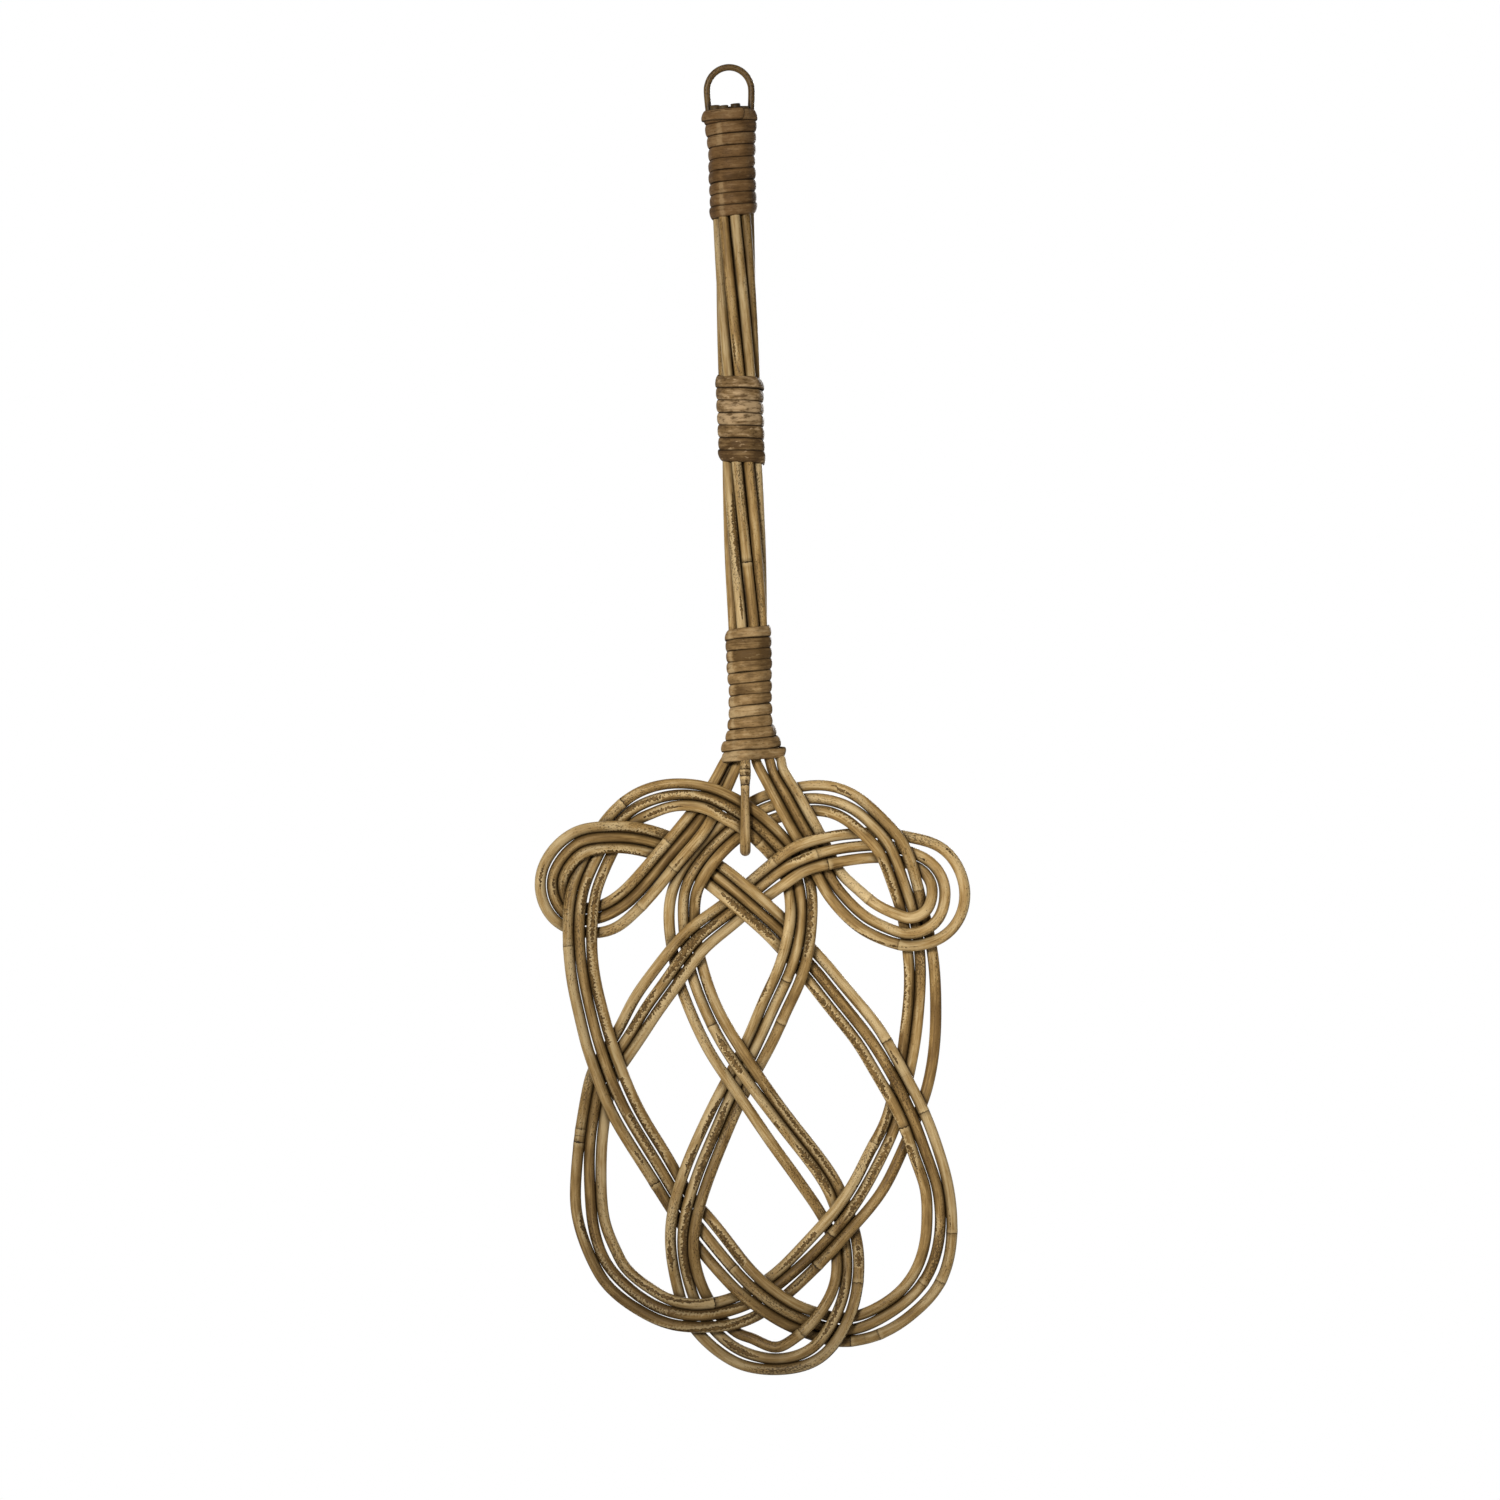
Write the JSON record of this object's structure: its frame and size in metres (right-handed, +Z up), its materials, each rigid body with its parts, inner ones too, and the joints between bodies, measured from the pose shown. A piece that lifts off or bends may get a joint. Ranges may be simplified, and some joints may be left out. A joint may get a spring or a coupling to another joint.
{
  "type": "carpet beater",
  "caption": "Rattan carpet beater: a knotted head woven from canes, a straight bundled handle bound with cane strip, and a hanging loop.",
  "frame": {"origin": "inside top of the hanging loop, where a nail carries it", "axes": "+Z up along the handle while it hangs, -Y towards the front of the weave, +X to the right as seen from the front"},
  "size_m": [0.2598, 0.0352, 0.7862],
  "materials": {
    "left_cane": "natural rattan skin, satin",
    "middle_cane": "natural rattan skin, satin",
    "right_cane": "natural rattan skin, satin",
    "handle_cane": "natural rattan skin, satin",
    "core_cane": "dry cut cane, matt",
    "loop": "thin rattan, satin",
    "hook": "rattan with a scarred head, satin",
    "wrap": "split cane strip, satin"
  },
  "bodies": {
    "root": {"left_cane": "left_cane", "middle_cane": "middle_cane", "right_cane": "right_cane", "handle_cane_left": "handle_cane", "handle_cane_right": "handle_cane", "core_cane": "core_cane", "hanging_loop": "loop", "retaining_hook": "hook", "top_wrap": "wrap", "middle_wrap": "wrap", "collar_wrap": "wrap"}
  },
  "joints": []
}
